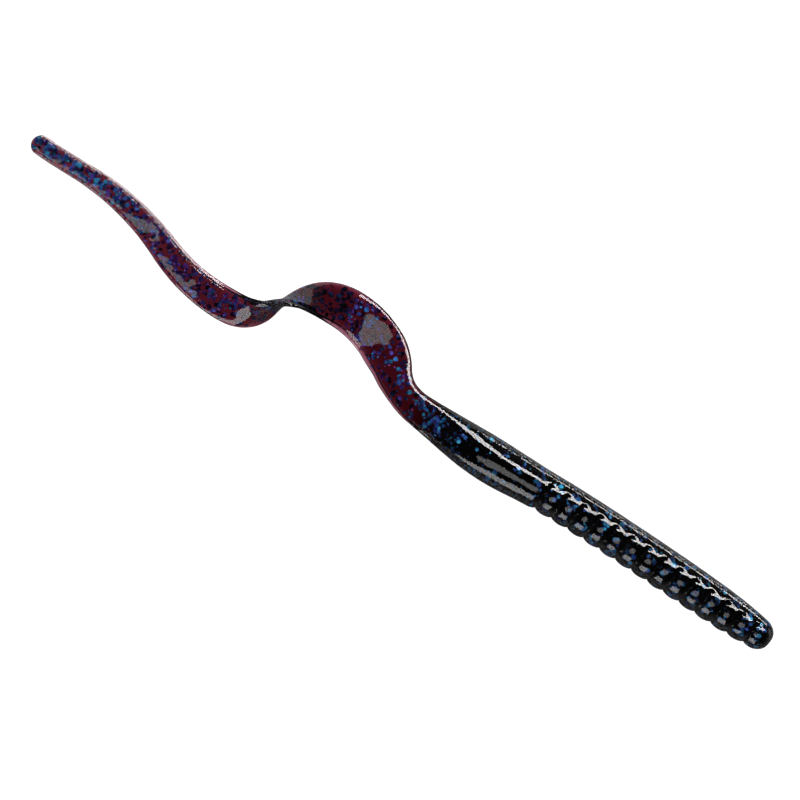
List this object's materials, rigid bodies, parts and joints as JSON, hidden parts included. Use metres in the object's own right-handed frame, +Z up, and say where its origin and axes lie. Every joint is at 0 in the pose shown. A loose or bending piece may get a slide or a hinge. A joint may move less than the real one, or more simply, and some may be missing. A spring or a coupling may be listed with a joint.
{
  "type": "soft plastic worm",
  "caption": "Soft plastic fishing worm with a ringed front body, a smooth swelling rear body and a twisted ribbon tail, near black to translucent red with blue glitter.",
  "frame": {"origin": "on the surface that the worm lies on, under the middle of its outline seen from above", "axes": "+X out of the nose along the body, +Y out of the smooth back, +Z up from the surface that the worm lies on its side on"},
  "size_m": [0.1698, 0.0196, 0.009],
  "materials": {
    "body_plastic": "glossy soft plastisol, near black plum where it is thick",
    "ribbon_plastic": "glossy soft plastisol, translucent wine red where it is thin",
    "blue_glitter": "metallised polyester film flakes, blue"
  },
  "bodies": {
    "nose": {"nose": "body_plastic", "glitter_nose": "blue_glitter"},
    "rib_01": {"rib_01": "body_plastic", "glitter_rib_01": "blue_glitter"},
    "rib_02": {"rib_02": "body_plastic", "glitter_rib_02": "blue_glitter"},
    "rib_03": {"rib_03": "body_plastic", "glitter_rib_03": "blue_glitter"},
    "rib_04": {"rib_04": "body_plastic", "glitter_rib_04": "blue_glitter"},
    "rib_05": {"rib_05": "body_plastic", "glitter_rib_05": "blue_glitter"},
    "rib_06": {"rib_06": "body_plastic", "glitter_rib_06": "blue_glitter"},
    "rib_07": {"rib_07": "body_plastic", "glitter_rib_07": "blue_glitter"},
    "rib_08": {"rib_08": "body_plastic", "glitter_rib_08": "blue_glitter"},
    "rib_09": {"rib_09": "body_plastic", "glitter_rib_09": "blue_glitter"},
    "rib_10": {"rib_10": "body_plastic", "glitter_rib_10": "blue_glitter"},
    "rib_11": {"rib_11": "body_plastic", "glitter_rib_11": "blue_glitter"},
    "rib_12": {"rib_12": "body_plastic", "glitter_rib_12": "blue_glitter"},
    "rib_13": {"rib_13": "body_plastic", "glitter_rib_13": "blue_glitter"},
    "smooth_front": {"smooth_front": "body_plastic", "glitter_smooth_front": "blue_glitter"},
    "smooth_middle": {"smooth_middle": "body_plastic", "glitter_smooth_middle": "blue_glitter"},
    "tail_root": {"tail_root": "body_plastic", "glitter_tail_root": "blue_glitter"},
    "ribbon_01": {"ribbon_01": "ribbon_plastic", "glitter_ribbon_01": "blue_glitter"},
    "ribbon_02": {"ribbon_02": "ribbon_plastic", "glitter_ribbon_02": "blue_glitter"},
    "ribbon_03": {"ribbon_03": "ribbon_plastic", "glitter_ribbon_03": "blue_glitter"},
    "ribbon_04": {"ribbon_04": "ribbon_plastic", "glitter_ribbon_04": "blue_glitter"},
    "ribbon_05": {"ribbon_05": "ribbon_plastic", "glitter_ribbon_05": "blue_glitter"},
    "ribbon_06": {"ribbon_06": "ribbon_plastic", "glitter_ribbon_06": "blue_glitter"},
    "ribbon_07": {"ribbon_07": "ribbon_plastic", "glitter_ribbon_07": "blue_glitter"},
    "ribbon_08": {"ribbon_08": "ribbon_plastic", "glitter_ribbon_08": "blue_glitter"},
    "ribbon_09": {"ribbon_09": "ribbon_plastic", "glitter_ribbon_09": "blue_glitter"},
    "ribbon_10": {"ribbon_10": "ribbon_plastic", "glitter_ribbon_10": "blue_glitter"}
  },
  "joints": [
    {"name": "rib_13_bend", "type": "hinge", "parent": "smooth_front", "child": "rib_13", "pos_m": [0.03336, -0.0026, 0.00452], "axis": [0, 0, -1], "range_deg": [-10, 10], "stiffness_Nm_per_rad": 0.015},
    {"name": "rib_12_lift", "type": "hinge", "parent": "rib_13", "child": "rib_12", "pos_m": [0.03699, -0.00245, 0.00449], "axis": [0.0354, -0.9994, 0], "range_deg": [0, 10], "stiffness_Nm_per_rad": 0.015},
    {"name": "rib_11_bend", "type": "hinge", "parent": "rib_12", "child": "rib_11", "pos_m": [0.04062, -0.00234, 0.00447], "axis": [0, 0, -1], "range_deg": [-10, 10], "stiffness_Nm_per_rad": 0.015},
    {"name": "rib_10_lift", "type": "hinge", "parent": "rib_11", "child": "rib_10", "pos_m": [0.04426, -0.00228, 0.00444], "axis": [0.0108, -0.9999, 0], "range_deg": [0, 10], "stiffness_Nm_per_rad": 0.015},
    {"name": "rib_09_bend", "type": "hinge", "parent": "rib_10", "child": "rib_09", "pos_m": [0.04789, -0.00226, 0.0044], "axis": [0, 0, -1], "range_deg": [-10, 10], "stiffness_Nm_per_rad": 0.015},
    {"name": "rib_08_lift", "type": "hinge", "parent": "rib_09", "child": "rib_08", "pos_m": [0.05153, -0.00224, 0.00436], "axis": [0.0015, -1, 0], "range_deg": [0, 10], "stiffness_Nm_per_rad": 0.015},
    {"name": "rib_07_bend", "type": "hinge", "parent": "rib_08", "child": "rib_07", "pos_m": [0.05516, -0.00224, 0.00433], "axis": [0, 0, -1], "range_deg": [-10, 10], "stiffness_Nm_per_rad": 0.015},
    {"name": "rib_06_lift", "type": "hinge", "parent": "rib_07", "child": "rib_06", "pos_m": [0.0588, -0.00226, 0.00429], "axis": [-0.0065, -1, 0], "range_deg": [0, 10], "stiffness_Nm_per_rad": 0.015},
    {"name": "rib_05_bend", "type": "hinge", "parent": "rib_06", "child": "rib_05", "pos_m": [0.06243, -0.00229, 0.00425], "axis": [0, 0, -1], "range_deg": [-10, 10], "stiffness_Nm_per_rad": 0.014},
    {"name": "rib_04_lift", "type": "hinge", "parent": "rib_05", "child": "rib_04", "pos_m": [0.06607, -0.00234, 0.00422], "axis": [-0.0144, -0.9999, 0], "range_deg": [0, 10], "stiffness_Nm_per_rad": 0.014},
    {"name": "rib_03_bend", "type": "hinge", "parent": "rib_04", "child": "rib_03", "pos_m": [0.0697, -0.0024, 0.00419], "axis": [0, 0, -1], "range_deg": [-10, 10], "stiffness_Nm_per_rad": 0.013},
    {"name": "rib_02_lift", "type": "hinge", "parent": "rib_03", "child": "rib_02", "pos_m": [0.07333, -0.00247, 0.00416], "axis": [-0.0223, -0.9998, 0], "range_deg": [0, 10], "stiffness_Nm_per_rad": 0.012},
    {"name": "rib_01_bend", "type": "hinge", "parent": "rib_02", "child": "rib_01", "pos_m": [0.07697, -0.00256, 0.00414], "axis": [0, 0, -1], "range_deg": [-10, 10], "stiffness_Nm_per_rad": 0.0093},
    {"name": "nose_lift", "type": "hinge", "parent": "rib_01", "child": "nose", "pos_m": [0.0806, -0.00266, 0.00413], "axis": [-0.0303, -0.9995, 0], "range_deg": [0, 10], "stiffness_Nm_per_rad": 0.0051},
    {"name": "smooth_middle_bend", "type": "hinge", "parent": "smooth_front", "child": "smooth_middle", "pos_m": [0.02388, -0.00316, 0.00454], "axis": [0, 0, 1], "range_deg": [-12, 12], "stiffness_Nm_per_rad": 0.0078},
    {"name": "tail_root_lift", "type": "hinge", "parent": "smooth_middle", "child": "tail_root", "pos_m": [0.01388, -0.00326, 0.00443], "axis": [0.0274, 0.9996, 0], "range_deg": [0, 12], "stiffness_Nm_per_rad": 0.0022},
    {"name": "ribbon_01_bend", "type": "hinge", "parent": "tail_root", "child": "ribbon_01", "pos_m": [0.00489, -0.00288, 0.00408], "axis": [0, 0, 1], "range_deg": [-12, 12], "stiffness_Nm_per_rad": 0.00079},
    {"name": "ribbon_02_lift", "type": "hinge", "parent": "ribbon_01", "child": "ribbon_02", "pos_m": [-0.00403, 0.00115, 0.00197], "axis": [0.6303, 0.7764, 0], "range_deg": [0, 12], "stiffness_Nm_per_rad": 0.0004},
    {"name": "ribbon_03_bend", "type": "hinge", "parent": "ribbon_02", "child": "ribbon_03", "pos_m": [-0.01205, 0.00505, 0.00147], "axis": [0, 0, 1], "range_deg": [-12, 12], "stiffness_Nm_per_rad": 0.0017},
    {"name": "ribbon_04_lift", "type": "hinge", "parent": "ribbon_03", "child": "ribbon_04", "pos_m": [-0.02093, 0.00477, 0.00312], "axis": [-0.3152, 0.949, 0], "range_deg": [0, 12], "stiffness_Nm_per_rad": 0.0004},
    {"name": "ribbon_05_bend", "type": "hinge", "parent": "ribbon_04", "child": "ribbon_05", "pos_m": [-0.02812, -0.00042, 0.0043], "axis": [0, 0, 1], "range_deg": [-12, 12], "stiffness_Nm_per_rad": 0.00098},
    {"name": "ribbon_06_lift", "type": "hinge", "parent": "ribbon_05", "child": "ribbon_06", "pos_m": [-0.03464, -0.00618, 0.00275], "axis": [-0.2228, 0.9749, 0], "range_deg": [0, 12], "stiffness_Nm_per_rad": 0.0004},
    {"name": "ribbon_07_bend", "type": "hinge", "parent": "ribbon_06", "child": "ribbon_07", "pos_m": [-0.04361, -0.00628, 0.0012], "axis": [0, 0, 1], "range_deg": [-12, 12], "stiffness_Nm_per_rad": 0.00045},
    {"name": "ribbon_08_lift", "type": "hinge", "parent": "ribbon_07", "child": "ribbon_08", "pos_m": [-0.05324, -0.00371, 0.00113], "axis": [0.3487, 0.9372, 0], "range_deg": [0, 12], "stiffness_Nm_per_rad": 0.0004},
    {"name": "ribbon_09_bend", "type": "hinge", "parent": "ribbon_08", "child": "ribbon_09", "pos_m": [-0.06289, -0.00114, 0.00097], "axis": [0, 0, 1], "range_deg": [-12, 12], "stiffness_Nm_per_rad": 0.0004},
    {"name": "ribbon_10_lift", "type": "hinge", "parent": "ribbon_09", "child": "ribbon_10", "pos_m": [-0.07385, -0.00047, 0.00079], "axis": [-0.0436, 0.999, 0], "range_deg": [0, 12], "stiffness_Nm_per_rad": 0.0004}
  ]
}
